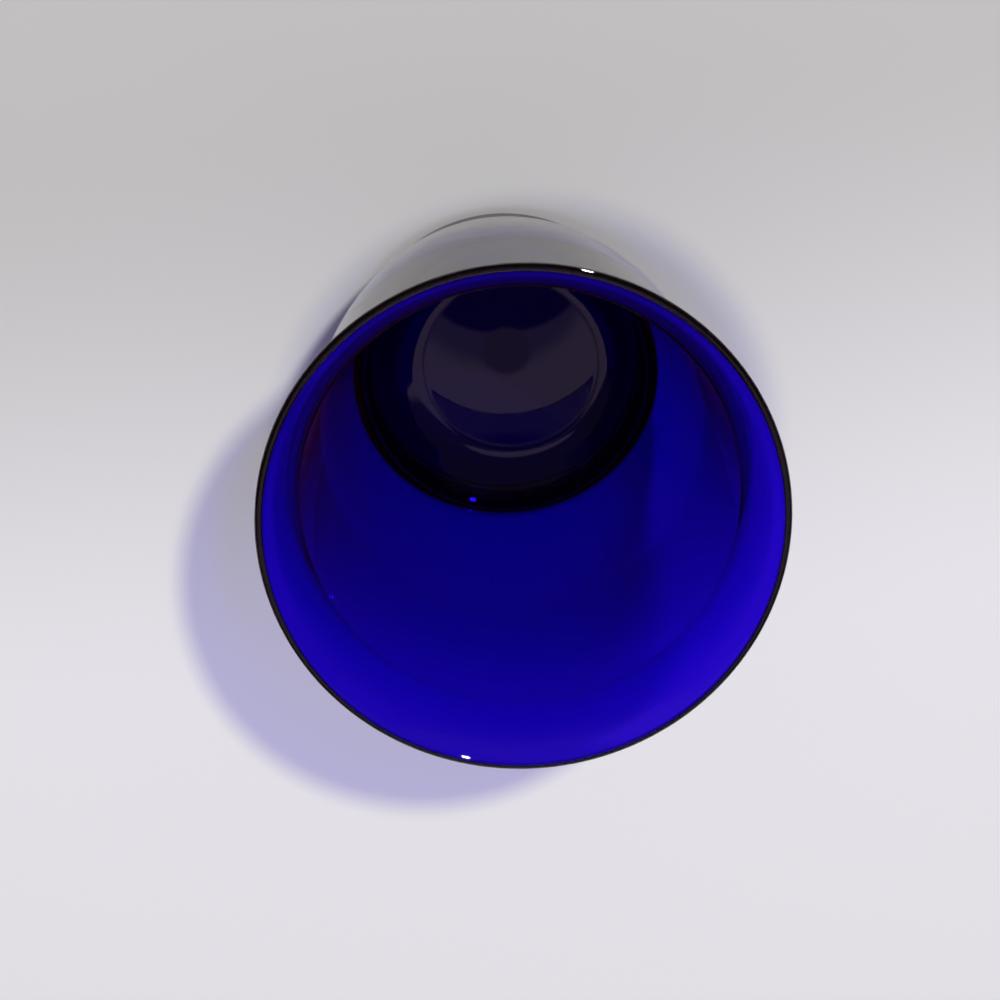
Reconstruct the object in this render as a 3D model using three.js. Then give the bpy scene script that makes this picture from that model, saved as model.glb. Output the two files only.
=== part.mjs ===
// Candle holder of cobalt-blue blown glass: an open bowl with a flared mouth, fused to a solid glass foot.
// Millimetres, +Z up. The origin is the centre of the underside, and the axis of the bowl is the Z axis.

import * as THREE from 'three';

// Driving dimensions
const HEIGHT = 108;
const MOUTH_RADIUS = 50;
const LIP_THICKNESS = 1.7;

// The outside narrows from the shoulder to the knee, and faster from the knee down. Its lowest stretch is the
// nearly upright edge of the foot, from the top of the heel to the heel.
const SHOULDER = { radius: 44.2, height: 98.5, rounding: 7 };
const KNEE = { radius: 39.55, height: 36, rounding: 18 };
const HEEL_TOP = { radius: 31.33, height: 2.2, rounding: 0.3 };
const HEEL = { radius: 31.2, height: 0, rounding: 0.4 };

// The inside follows the outside down to the inner heel. From there a cone of thick glass runs in to the edge
// of the floor, and a gentle slope from the edge to the rim of the flat part.
const INNER_SHOULDER = { radius: 42.4, height: 99, rounding: 6.5 };
const INNER_KNEE = { radius: 37.2, height: 36, rounding: 14 };
const INNER_HEEL = { radius: 31.4, height: 13.5, rounding: 4 };
const FLOOR_EDGE = { radius: 23.4, height: 9.1, rounding: 1 };
const FLOOR_RIM = { radius: 19.8, height: 7.9, rounding: 1.5 };

// The foot is the glass below the fused face, and its underside is hollowed so that it stands on a flat ring.
const FUSED_FACE_HEIGHT = 5;
const HOLLOW_DEPTH = 0.8;
const HOLLOW_RADIUS = 24;

// Fineness of the round shapes
const SEGMENTS = 64;
const CURVE_STEPS = 4;

const GLASS_LOOK = { roughness: 0.04, metalness: 0, transparent: true };
const BOWL_GLASS = { ...GLASS_LOOK, color: 0x1a10b4, opacity: 0.6 };
const FOOT_GLASS = { ...GLASS_LOOK, color: 0x0d0830, opacity: 0.85 };

const lipRadius = LIP_THICKNESS / 2;
const lipCentre = new THREE.Vector2(MOUTH_RADIUS - lipRadius, HEIGHT - lipRadius);

function pointOf({ radius, height }) {
  return new THREE.Vector2(radius, height);
}

// Runs straight towards the corner and turns it, over the same length on both sides.
function turnCorner(outline, corner, next) {
  const point = pointOf(corner);
  const before = outline.currentPoint.clone().sub(point).setLength(corner.rounding).add(point);
  const after = next.clone().sub(point).setLength(corner.rounding).add(point);
  outline.lineTo(before.x, before.y);
  outline.quadraticCurveTo(point.x, point.y, after.x, after.y);
}

// Where the outside crosses the height of the fused face, on the straight line up to the knee.
function fusedFaceRadius() {
  const share = (FUSED_FACE_HEIGHT - HEEL_TOP.height) / (KNEE.height - HEEL_TOP.height);
  return THREE.MathUtils.lerp(HEEL_TOP.radius, KNEE.radius, share);
}

// Angle of the flare from the vertical, from the shoulder to the middle of the lip's outer side.
function flareAngle() {
  const rise = lipCentre.y - SHOULDER.height;
  const run = lipCentre.x - SHOULDER.radius;
  const slant = Math.hypot(rise, run);
  return Math.atan2(run, rise) + Math.asin(lipRadius / slant);
}

// The lip is half a round bead, tangent to the outer and the inner side of the flare.
function addLip(outline) {
  const start = -flareAngle();
  outline.absarc(lipCentre.x, lipCentre.y, lipRadius, start, start + Math.PI, false);
}

function bowlOutline() {
  const outline = new THREE.Path();
  const flare = flareAngle();
  const lipOuterSide = new THREE.Vector2(Math.cos(flare), -Math.sin(flare))
    .multiplyScalar(lipRadius)
    .add(lipCentre);
  outline.moveTo(0, FUSED_FACE_HEIGHT);
  outline.lineTo(fusedFaceRadius(), FUSED_FACE_HEIGHT);
  turnCorner(outline, KNEE, pointOf(SHOULDER));
  turnCorner(outline, SHOULDER, lipOuterSide);
  addLip(outline);
  turnCorner(outline, INNER_SHOULDER, pointOf(INNER_KNEE));
  turnCorner(outline, INNER_KNEE, pointOf(INNER_HEEL));
  turnCorner(outline, INNER_HEEL, pointOf(FLOOR_EDGE));
  turnCorner(outline, FLOOR_EDGE, pointOf(FLOOR_RIM));
  turnCorner(outline, FLOOR_RIM, new THREE.Vector2(0, FLOOR_RIM.height));
  outline.lineTo(0, FLOOR_RIM.height);
  return outline;
}

function footOutline() {
  const outline = new THREE.Path();
  outline.moveTo(0, HOLLOW_DEPTH);
  outline.quadraticCurveTo(HOLLOW_RADIUS / 2, HOLLOW_DEPTH, HOLLOW_RADIUS, 0);
  turnCorner(outline, HEEL, pointOf(HEEL_TOP));
  turnCorner(outline, HEEL_TOP, pointOf(KNEE));
  outline.lineTo(fusedFaceRadius(), FUSED_FACE_HEIGHT);
  outline.lineTo(0, FUSED_FACE_HEIGHT);
  return outline;
}

// Spins an outline of (radius, height) points about the Z axis.
function turnedPiece(name, outline, look) {
  const geometry = new THREE.LatheGeometry(outline.getPoints(CURVE_STEPS), SEGMENTS);
  geometry.rotateX(Math.PI / 2);
  const piece = new THREE.Mesh(geometry, new THREE.MeshStandardMaterial(look));
  piece.name = name;
  return piece;
}

const candleHolder = new THREE.Group();
candleHolder.add(turnedPiece('bowl', bowlOutline(), BOWL_GLASS));
candleHolder.add(turnedPiece('foot', footOutline(), FOOT_GLASS));

export default candleHolder;
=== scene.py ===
"""Dresses the blown glass candle holder and sets up the camera and the studio light around it."""

import math
from typing import NamedTuple

import bpy
from mathutils import Matrix, Vector


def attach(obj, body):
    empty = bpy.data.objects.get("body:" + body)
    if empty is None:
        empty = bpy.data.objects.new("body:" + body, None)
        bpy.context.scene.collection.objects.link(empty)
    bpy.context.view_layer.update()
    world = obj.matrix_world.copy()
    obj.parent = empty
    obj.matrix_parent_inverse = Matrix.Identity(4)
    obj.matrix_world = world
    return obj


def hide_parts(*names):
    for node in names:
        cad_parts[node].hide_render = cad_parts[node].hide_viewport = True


MM = 0.001


class Corner(NamedTuple):
    """A corner of the turned outline, and the length over which it is rounded."""
    radius: float
    height: float
    rounding: float


class Lamp(NamedTuple):
    """An oval lamp that points at the origin, turned from -Y towards -X and raised, both in degrees."""
    turn: float
    rise: float
    distance: float
    size: tuple
    power: float
    colour: tuple
    mirrored: bool
    lighting: bool


class SkyPatch(NamedTuple):
    """A soft-edged oval of the sky, placed and sized in degrees from straight overhead towards +X and +Y."""
    centre: tuple
    half_size: tuple
    softness: float
    colour: tuple


# The holder's driving dimensions, the same as those of its solids
HEIGHT = 108 * MM
MOUTH_RADIUS = 50 * MM
LIP_RADIUS = 0.85 * MM

# Corners of the outside, from the table up
HEEL = Corner(31.2 * MM, 0.0, 0.4 * MM)
HEEL_TOP = Corner(31.33 * MM, 2.2 * MM, 0.3 * MM)
KNEE = Corner(39.55 * MM, 36 * MM, 18 * MM)
SHOULDER = Corner(44.2 * MM, 98.5 * MM, 7 * MM)

# Corners of the inside, from the mouth down
INNER_SHOULDER = Corner(42.4 * MM, 99 * MM, 6.5 * MM)
INNER_KNEE = Corner(37.2 * MM, 36 * MM, 14 * MM)
INNER_HEEL = Corner(31.4 * MM, 13.5 * MM, 4 * MM)
FLOOR_EDGE = Corner(23.4 * MM, 9.1 * MM, 1.0 * MM)
FLOOR_RIM = Corner(19.8 * MM, 7.9 * MM, 1.5 * MM)

# The shallow hollow of the underside
HOLLOW_DEPTH = 0.8 * MM
HOLLOW_RADIUS = 24 * MM

# What the making by hand leaves in the glass: a floor that is crowned, off centre and not quite level, and a
# section that isn't quite round. The slope and the shift fade out over the blend, up to the slope's end.
FLOOR_CROWN = 0.5 * MM
FLOOR_SLOPE = (-0.0113, 0.0175)
FLOOR_SHIFT = -1.3 * MM
FLOOR_SLOPE_END = 27 * MM
FLOOR_SLOPE_BLEND = 7 * MM
OUT_OF_ROUND = 0.0012
OUT_OF_ROUND_PHASE = 0.8

# Fineness of the turned mesh
ROUND_STEPS = 192
LONGEST_STEP = 1.4 * MM
CURVE_STEP = 0.4 * MM
FEWEST_CURVE_STEPS = 6
LIP_STEPS = 18

# The glass takes its colour from the depth of glass that light crosses. Light that falls through it on the
# floor isn't bent, and takes the shadow's colour at each surface as well.
GLASS_IOR = 1.52
DEPTH_COLOUR = (0.34, 0.0, 0.936, 1)
DEPTH_DENSITY = 3000
SHADOW_COLOUR = (0.74, 0.65, 0.91, 1)

# The surface of the glass: a tint that varies between two, smudges that dull the gloss, slight waves, and a
# weak veil. Each noise is a scale, in cells per metre, and a detail.
TINT_NOISE = (60, 2)
TINTS = ((0.97, 0.96, 1, 1), (1, 1, 1, 1))
SMUDGE_NOISE = (45, 4)
SMUDGE_LEVELS = (0.58, 0.75)
SMUDGE_ROUGHNESS = 0.035
WAVE_NOISE = (35, 0)
WAVE_HEIGHT = 0.05 * MM
VEIL_WEIGHT = 0.011
VEIL_ROUGHNESS = 0.6
VEIL_COLOUR = (1.0, 0.12, 0.2, 1)

# The nearly black tint painted on the upright edge of the foot as painted shade, and the width over which it
# turns clear
FOOT_EDGE_SHADE = (0.02, 0.015, 0.03, 1)
EDGE_BLEND = 0.3 * MM

# The camera, seen from the middle of the mouth. The tilt is measured from the holder's axis towards -Y. In
# the picture -Y is up and -X is to the right, but for the roll.
CAMERA_DISTANCE = 593.6 * MM
CAMERA_TILT = math.radians(20.3)
CAMERA_AIM = Vector((3.9 * MM, -5.0 * MM, HEIGHT - LIP_RADIUS))
CAMERA_ROLL = math.radians(5.95)
CAMERA_LENS = 115.2
CAMERA_SENSOR = 36.0
CAMERA_REACH = 50

# Two lamps light the scene and aren't mirrored. The low one lights nothing, and shows only as highlights.
LAMP_WHITE = (0.98, 1.0, 0.96)
LAMPS = {
    "key_lamp": Lamp(24.7, 64, 1.5, (0.07, 0.07), 10.4, LAMP_WHITE, mirrored=False, lighting=True),
    "top_lamp": Lamp(-8, 79.5, 1.5, (0.12, 0.12), 6.8, LAMP_WHITE, mirrored=False, lighting=True),
    "low_lamp": Lamp(27, 21, 1.2, (0.07, 0.3), 16, (1.0, 1.0, 1.0), mirrored=True, lighting=False),
}

# The floor lies a hair below the foot, so that the two faces never coincide. It is painted darker at the top
# of the picture than at the bottom, and far from the holder it shows the backdrop's colour.
FLOOR_HEIGHT = -0.05 * MM
FLOOR_HALF_SIDE = 6.0
UPPER_PAINT = (0.55, 0.54, 0.54, 1)
LOWER_PAINT = (0.84, 0.83, 0.87, 1)
PAINT_FADE = (-60 * MM, 75 * MM)
HAZE_FADE = (0.4, 2.0)

# The world: what lights the holder, what shows behind it, and the room that its surface mirrors. The room is
# dark but for a pale wall towards +Y, whose edge lies between two cosines of the angle from +Y.
SKY_LIGHT = (0.28, 0.25, 0.29, 1)
BACKDROP = (0.71, 0.70, 0.75, 1)
DARK_ROOM = (0.06, 0.035, 0.05, 1)
PALE_WALL = (0.62, 0.58, 0.62, 1)
WALL_EDGE = (0.75, 0.92)

# Cards that hang over the holder in that room, with a gap and a spot. Each covers those before it.
CARD = (0.42, 0.30, 0.42, 1)
DIM_CARD = (0.20, 0.14, 0.22, 1)
GAP = (0.03, 0.01, 0.02, 1)
DIM_SPOT = (0.19, 0.12, 0.10, 1)
SKY_PATCHES = (
    SkyPatch(centre=(0, 26), half_size=(40, 19), softness=0.08, colour=CARD),
    SkyPatch(centre=(1.3, -6), half_size=(14, 6), softness=0.1, colour=CARD),
    SkyPatch(centre=(1.5, 8.0), half_size=(7.8, 7.4), softness=0.12, colour=DIM_CARD),
    SkyPatch(centre=(0.8, 7.5), half_size=(6.8, 5.6), softness=0.05, colour=GAP),
    SkyPatch(centre=(1.4, 14.5), half_size=(1.8, 1.8), softness=0.15, colour=DIM_SPOT),
)


def place(corner):
    return Vector((corner.radius, corner.height))


def add_line(points, end):
    """Goes straight on to the end, in short steps."""
    start = points[-1]
    count = max(1, math.ceil((end - start).length / LONGEST_STEP))
    points += [start.lerp(end, i / count) for i in range(1, count + 1)]


def add_curve(points, control, end):
    """Goes on to the end along a curve that is pulled towards the control point."""
    start = points[-1]
    length = (control - start).length + (end - control).length
    count = max(FEWEST_CURVE_STEPS, math.ceil(length / CURVE_STEP))
    for i in range(1, count + 1):
        share = i / count
        points.append(start.lerp(control, share).lerp(control.lerp(end, share), share))


def turn_corner(points, corner, after):
    """Goes straight on towards the corner and turns it, over the same length on both sides."""
    middle = place(corner)
    add_line(points, middle + (points[-1] - middle).normalized() * corner.rounding)
    add_curve(points, middle, middle + (after - middle).normalized() * corner.rounding)


def lip_centre():
    return Vector((MOUTH_RADIUS - LIP_RADIUS, HEIGHT - LIP_RADIUS))


def flare_angle():
    """Angle from the vertical of the line from the shoulder that just touches the lip's bead."""
    reach = lip_centre() - place(SHOULDER)
    return math.atan2(reach.x, reach.y) + math.asin(LIP_RADIUS / reach.length)


def lip_point(angle):
    return lip_centre() + LIP_RADIUS * Vector((math.cos(angle), math.sin(angle)))


def add_lip(points):
    """Half a round bead between the outer and the inner side of the flare."""
    start = -flare_angle()
    points += [lip_point(start + math.pi * i / LIP_STEPS) for i in range(LIP_STEPS + 1)]


def outer_outline():
    """The section of the outside, from the middle of the underside to the lip."""
    points = [Vector((0, HOLLOW_DEPTH))]
    add_curve(points, Vector((HOLLOW_RADIUS / 2, HOLLOW_DEPTH)), Vector((HOLLOW_RADIUS, 0)))
    turn_corner(points, HEEL, place(HEEL_TOP))
    turn_corner(points, HEEL_TOP, place(KNEE))
    turn_corner(points, KNEE, place(SHOULDER))
    turn_corner(points, SHOULDER, lip_point(-flare_angle()))
    return points


def inner_outline(start):
    """The section of the inside, from the lip to the middle of the floor."""
    crown_height = FLOOR_RIM.height + FLOOR_CROWN
    crown_side = Vector((FLOOR_RIM.radius / 2, crown_height))
    points = [start]
    turn_corner(points, INNER_SHOULDER, place(INNER_KNEE))
    turn_corner(points, INNER_KNEE, place(INNER_HEEL))
    turn_corner(points, INNER_HEEL, place(FLOOR_EDGE))
    turn_corner(points, FLOOR_EDGE, place(FLOOR_RIM))
    turn_corner(points, FLOOR_RIM, crown_side)
    add_curve(points, crown_side, Vector((0, crown_height)))
    return points[1:]


def glass_outline():
    points = outer_outline()
    add_lip(points)
    return points + inner_outline(points[-1])


def hand_made(radius, angle, height):
    """Places a point of the outline around the axis, with the slight faults of glass made by hand."""
    squeeze = 1 - OUT_OF_ROUND * (1 + math.sin(2 * angle + OUT_OF_ROUND_PHASE)) / 2
    x = radius * squeeze * math.cos(angle)
    y = radius * squeeze * math.sin(angle)
    above_underside = height > FLOOR_RIM.height / 2
    if above_underside and radius < FLOOR_SLOPE_END:
        share = min(1, (FLOOR_SLOPE_END - radius) / FLOOR_SLOPE_BLEND)
        height += share * (FLOOR_SLOPE[0] * x + FLOOR_SLOPE[1] * y)
        x += share * FLOOR_SHIFT
    return (x, y, height)


def turned_faces(ring_count):
    """Quads between the rings of vertices, and a fan at each end, around a vertex on the axis."""
    first_ring = 1
    last_ring = first_ring + (ring_count - 1) * ROUND_STEPS
    last_vertex = last_ring + ROUND_STEPS
    faces = []
    for i in range(ROUND_STEPS):
        after = (i + 1) % ROUND_STEPS
        faces.append((0, first_ring + after, first_ring + i))
        for low in range(first_ring, last_ring, ROUND_STEPS):
            high = low + ROUND_STEPS
            faces.append((low + i, low + after, high + after, high + i))
        faces.append((last_ring + i, last_ring + after, last_vertex))
    return faces


def turned_mesh(name, outline):
    """Spins an outline that starts and ends on the axis into one closed mesh."""
    first, *rings, last = outline
    vertices = [hand_made(0, 0, first.y)]
    for ring in rings:
        vertices += [hand_made(ring.x, 2 * math.pi * i / ROUND_STEPS, ring.y) for i in range(ROUND_STEPS)]
    vertices.append(hand_made(0, 0, last.y))
    mesh = bpy.data.meshes.new(name)
    mesh.from_pydata(vertices, [], turned_faces(len(rings)))
    mesh.shade_smooth()
    return mesh


def new_material(name):
    material = bpy.data.materials.new(name)
    material.use_nodes = True
    material.node_tree.nodes.clear()
    return material, material.node_tree


def combined(tree, operation, first, second):
    """Works out one number from the outputs of two other nodes."""
    node = tree.nodes.new("ShaderNodeMath")
    node.operation = operation
    tree.links.new(first, node.inputs[0])
    tree.links.new(second, node.inputs[1])
    return node.outputs[0]


def vector_result(tree, operation, vector, constant=(0, 0, 0)):
    """The outputs of a vector operation on another node's vector and a constant one."""
    node = tree.nodes.new("ShaderNodeVectorMath")
    node.operation = operation
    tree.links.new(vector, node.inputs[0])
    node.inputs[1].default_value = constant
    return node.outputs


def along(tree, vector, axis):
    return vector_result(tree, "DOT_PRODUCT", vector, axis)["Value"]


def length_of(tree, vector):
    return vector_result(tree, "LENGTH", vector)["Value"]


def distance_from_axis(tree, position):
    return length_of(tree, vector_result(tree, "MULTIPLY", position, (1, 1, 0))["Vector"])


def mapped(tree, value, source, target):
    """Maps a value smoothly from the source range to the target range."""
    node = tree.nodes.new("ShaderNodeMapRange")
    node.interpolation_type = "SMOOTHSTEP"
    node.inputs["From Min"].default_value = source[0]
    node.inputs["From Max"].default_value = source[1]
    node.inputs["To Min"].default_value = target[0]
    node.inputs["To Max"].default_value = target[1]
    tree.links.new(value, node.inputs["Value"])
    return node.outputs[0]


def blended(tree, share, first, second):
    """Mixes two colours, each given as a value or as another node's output."""
    node = tree.nodes.new("ShaderNodeMix")
    node.data_type = "RGBA"
    tree.links.new(share, node.inputs["Factor"])
    for name, colour in (("A", first), ("B", second)):
        socket = next(s for s in node.inputs if s.name == name and s.type == "RGBA")
        if isinstance(colour, tuple):
            socket.default_value = colour
        else:
            tree.links.new(colour, socket)
    return next(s for s in node.outputs if s.type == "RGBA")


def mixed_shader(tree, share, first, second):
    node = tree.nodes.new("ShaderNodeMixShader")
    tree.links.new(share, node.inputs["Fac"])
    tree.links.new(first, node.inputs[1])
    tree.links.new(second, node.inputs[2])
    return node.outputs[0]


def noise(tree, position, scale, detail):
    node = tree.nodes.new("ShaderNodeTexNoise")
    node.inputs["Scale"].default_value = scale
    node.inputs["Detail"].default_value = detail
    tree.links.new(position, node.inputs["Vector"])
    return node.outputs["Fac"]


def seen_ray(tree):
    """1 for what the camera sees, straight or through the glass, and 0 for the light that falls on things."""
    path = tree.nodes.new("ShaderNodeLightPath").outputs
    return combined(tree, "MAXIMUM", path["Is Camera Ray"], path["Is Transmission Ray"])


def soft_ray(tree):
    """1 for shadows and for the light that matt things scatter, and 0 for all other rays."""
    path = tree.nodes.new("ShaderNodeLightPath").outputs
    return combined(tree, "MAXIMUM", path["Is Shadow Ray"], path["Is Diffuse Ray"])


def shaded_foot_edge(tree, position):
    """1 on the upright edge of the foot, where a dark line of shade is painted into the glass, and 0
    elsewhere.
    """
    height = along(tree, position, (0, 0, 1))
    low = mapped(tree, height, (HEEL_TOP.height, HEEL_TOP.height + EDGE_BLEND), (1, 0))
    outer_range = (HEEL.radius - 2 * EDGE_BLEND, HEEL.radius - EDGE_BLEND)
    outer = mapped(tree, distance_from_axis(tree, position), outer_range, (0, 1))
    return combined(tree, "MULTIPLY", low, outer)


def glass_tint(tree, position):
    """A tint that varies slightly, and that turns nearly black on the upright edge of the foot, as painted
    shade.
    """
    tint = blended(tree, noise(tree, position, *TINT_NOISE), *TINTS)
    # Painted shade: the glass is tinted nearly black on the foot's upright edge, for the dark line there.
    return blended(tree, shaded_foot_edge(tree, position), tint, FOOT_EDGE_SHADE)


def waves(tree, position):
    """The slight waves that blowing leaves in the surface."""
    bump = tree.nodes.new("ShaderNodeBump")
    bump.inputs["Strength"].default_value = 1.0
    bump.inputs["Distance"].default_value = WAVE_HEIGHT
    tree.links.new(noise(tree, position, *WAVE_NOISE), bump.inputs["Height"])
    return bump.outputs[0]


def glass_surface(tree):
    """Clear glass with smudges in its gloss and a weak veil over it."""
    position = tree.nodes.new("ShaderNodeTexCoord").outputs["Object"]
    smudges = mapped(tree, noise(tree, position, *SMUDGE_NOISE), SMUDGE_LEVELS, (0, SMUDGE_ROUGHNESS))
    glass = tree.nodes.new("ShaderNodeBsdfPrincipled")
    glass.inputs["IOR"].default_value = GLASS_IOR
    glass.inputs["Transmission Weight"].default_value = 1.0
    glass.inputs["Sheen Weight"].default_value = VEIL_WEIGHT
    glass.inputs["Sheen Roughness"].default_value = VEIL_ROUGHNESS
    glass.inputs["Sheen Tint"].default_value = VEIL_COLOUR
    tree.links.new(glass_tint(tree, position), glass.inputs["Base Color"])
    tree.links.new(smudges, glass.inputs["Roughness"])
    tree.links.new(waves(tree, position), glass.inputs["Normal"])
    return glass.outputs[0]


def cobalt_glass():
    """Glass that is coloured by depth, and that doesn't bend the light that falls through it on the floor."""
    material, tree = new_material("cobalt_glass")
    clear = tree.nodes.new("ShaderNodeBsdfTransparent")
    clear.inputs["Color"].default_value = SHADOW_COLOUR
    depth = tree.nodes.new("ShaderNodeVolumeAbsorption")
    depth.inputs["Color"].default_value = DEPTH_COLOUR
    depth.inputs["Density"].default_value = DEPTH_DENSITY
    surface = mixed_shader(tree, soft_ray(tree), glass_surface(tree), clear.outputs[0])
    output = tree.nodes.new("ShaderNodeOutputMaterial")
    tree.links.new(surface, output.inputs["Surface"])
    tree.links.new(depth.outputs[0], output.inputs["Volume"])
    return material


def add_holder():
    mesh = turned_mesh("glass_holder", glass_outline())
    mesh.materials.append(cobalt_glass())
    holder = bpy.data.objects.new("glass_holder", mesh)
    bpy.context.scene.collection.objects.link(holder)
    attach(holder, "root")
    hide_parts("bowl", "foot")


def floor_paint():
    """Plain paint near the holder, which gives way to the backdrop's colour far from it."""
    material, tree = new_material("floor_paint")
    position = tree.nodes.new("ShaderNodeTexCoord").outputs["Object"]
    lower = mapped(tree, along(tree, position, (0, 1, 0)), PAINT_FADE, (0, 1))
    paint = tree.nodes.new("ShaderNodeBsdfDiffuse")
    tree.links.new(blended(tree, lower, UPPER_PAINT, LOWER_PAINT), paint.inputs["Color"])
    haze = tree.nodes.new("ShaderNodeEmission")
    haze.inputs["Color"].default_value = BACKDROP
    far = mapped(tree, distance_from_axis(tree, position), HAZE_FADE, (0, 1))
    hazy = combined(tree, "MULTIPLY", far, seen_ray(tree))
    output = tree.nodes.new("ShaderNodeOutputMaterial")
    surface = mixed_shader(tree, hazy, paint.outputs[0], haze.outputs[0])
    tree.links.new(surface, output.inputs["Surface"])
    return material


def add_floor():
    mesh = bpy.data.meshes.new("floor")
    signs = [(-1, -1), (1, -1), (1, 1), (-1, 1)]
    corners = [(x * FLOOR_HALF_SIDE, y * FLOOR_HALF_SIDE, FLOOR_HEIGHT) for x, y in signs]
    mesh.from_pydata(corners, [], [(0, 1, 2, 3)])
    mesh.materials.append(floor_paint())
    floor = bpy.data.objects.new("floor", mesh)
    bpy.context.scene.collection.objects.link(floor)


def add_camera():
    """The axis of the holder, followed out of the mouth, points down in the picture, but for the roll."""
    camera_data = bpy.data.cameras.new("camera")
    camera_data.lens = CAMERA_LENS
    camera_data.sensor_width = CAMERA_SENSOR
    camera_data.clip_end = CAMERA_REACH
    camera = bpy.data.objects.new("camera", camera_data)
    bpy.context.scene.collection.objects.link(camera)
    rim_centre = Vector((0, 0, HEIGHT - LIP_RADIUS))
    offset = Vector((0, -math.sin(CAMERA_TILT), math.cos(CAMERA_TILT)))
    location = rim_centre + offset * CAMERA_DISTANCE
    back = (location - CAMERA_AIM).normalized()
    axis_down = (Vector((0, 0, 1)) - back * back.z).normalized()
    up = -(Matrix.Rotation(-CAMERA_ROLL, 3, back) @ axis_down)
    right = up.cross(back)
    camera.matrix_world = Matrix.Translation(location) @ Matrix((right, up, back)).transposed().to_4x4()
    bpy.context.scene.camera = camera


def add_lamp(name, plan):
    lamp_data = bpy.data.lights.new(name, "AREA")
    lamp_data.shape = "ELLIPSE"
    lamp_data.size, lamp_data.size_y = plan.size
    lamp_data.energy = plan.power
    lamp_data.color = plan.colour
    lamp = bpy.data.objects.new(name, lamp_data)
    bpy.context.scene.collection.objects.link(lamp)
    turn = math.radians(plan.turn)
    rise = math.radians(plan.rise)
    flat = math.cos(rise)
    direction = Vector((-math.sin(turn) * flat, -math.cos(turn) * flat, math.sin(rise)))
    lamp.location = direction * plan.distance
    lamp.rotation_euler = direction.to_track_quat("Z", "Y").to_euler()
    lamp.visible_glossy = plan.mirrored
    lamp.visible_transmission = plan.mirrored
    lamp.visible_diffuse = plan.lighting


def inside_patch(tree, direction, patch):
    """1 inside a patch of the sky and 0 outside."""
    across, back = (math.radians(angle) for angle in patch.centre)
    middle = Vector((math.sin(across), math.sin(back) * math.cos(across), math.cos(back) * math.cos(across)))
    side = Vector((math.cos(across), 0, -math.sin(across)))
    rear = middle.cross(side).normalized()
    offsets = tree.nodes.new("ShaderNodeCombineXYZ")
    for socket, axis, half in zip(("X", "Y"), (side, rear), patch.half_size):
        tree.links.new(along(tree, direction, axis / math.radians(half)), offsets.inputs[socket])
    edge = (1 - patch.softness, 1 + patch.softness)
    return mapped(tree, length_of(tree, offsets.outputs[0]), edge, (1, 0))


def mirrored_room(tree, direction):
    """What the glass mirrors: a dark room with a pale wall, and cards that hang in it."""
    wall = mapped(tree, along(tree, direction, (0, 1, 0)), WALL_EDGE, (0, 1))
    room = blended(tree, wall, DARK_ROOM, PALE_WALL)
    for patch in SKY_PATCHES:
        room = blended(tree, inside_patch(tree, direction, patch), room, patch.colour)
    return room


def add_sky():
    world = bpy.data.worlds.new("studio")
    world.use_nodes = True
    bpy.context.scene.world = world
    tree = world.node_tree
    direction = tree.nodes.new("ShaderNodeTexCoord").outputs["Generated"]
    glossy_ray = tree.nodes.new("ShaderNodeLightPath").outputs["Is Glossy Ray"]
    colour = blended(tree, seen_ray(tree), SKY_LIGHT, BACKDROP)
    colour = blended(tree, glossy_ray, colour, mirrored_room(tree, direction))
    tree.links.new(colour, tree.nodes["Background"].inputs["Color"])


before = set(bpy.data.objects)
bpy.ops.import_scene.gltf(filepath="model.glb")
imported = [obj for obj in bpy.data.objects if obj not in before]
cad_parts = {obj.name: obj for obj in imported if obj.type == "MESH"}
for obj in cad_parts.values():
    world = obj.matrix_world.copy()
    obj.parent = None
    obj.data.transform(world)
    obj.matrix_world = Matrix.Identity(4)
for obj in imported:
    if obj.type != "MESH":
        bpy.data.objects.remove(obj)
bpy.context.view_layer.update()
add_camera()
add_holder()
add_floor()
for name, plan in LAMPS.items():
    add_lamp(name, plan)
add_sky()
bpy.context.scene.view_settings.view_transform = "Standard"
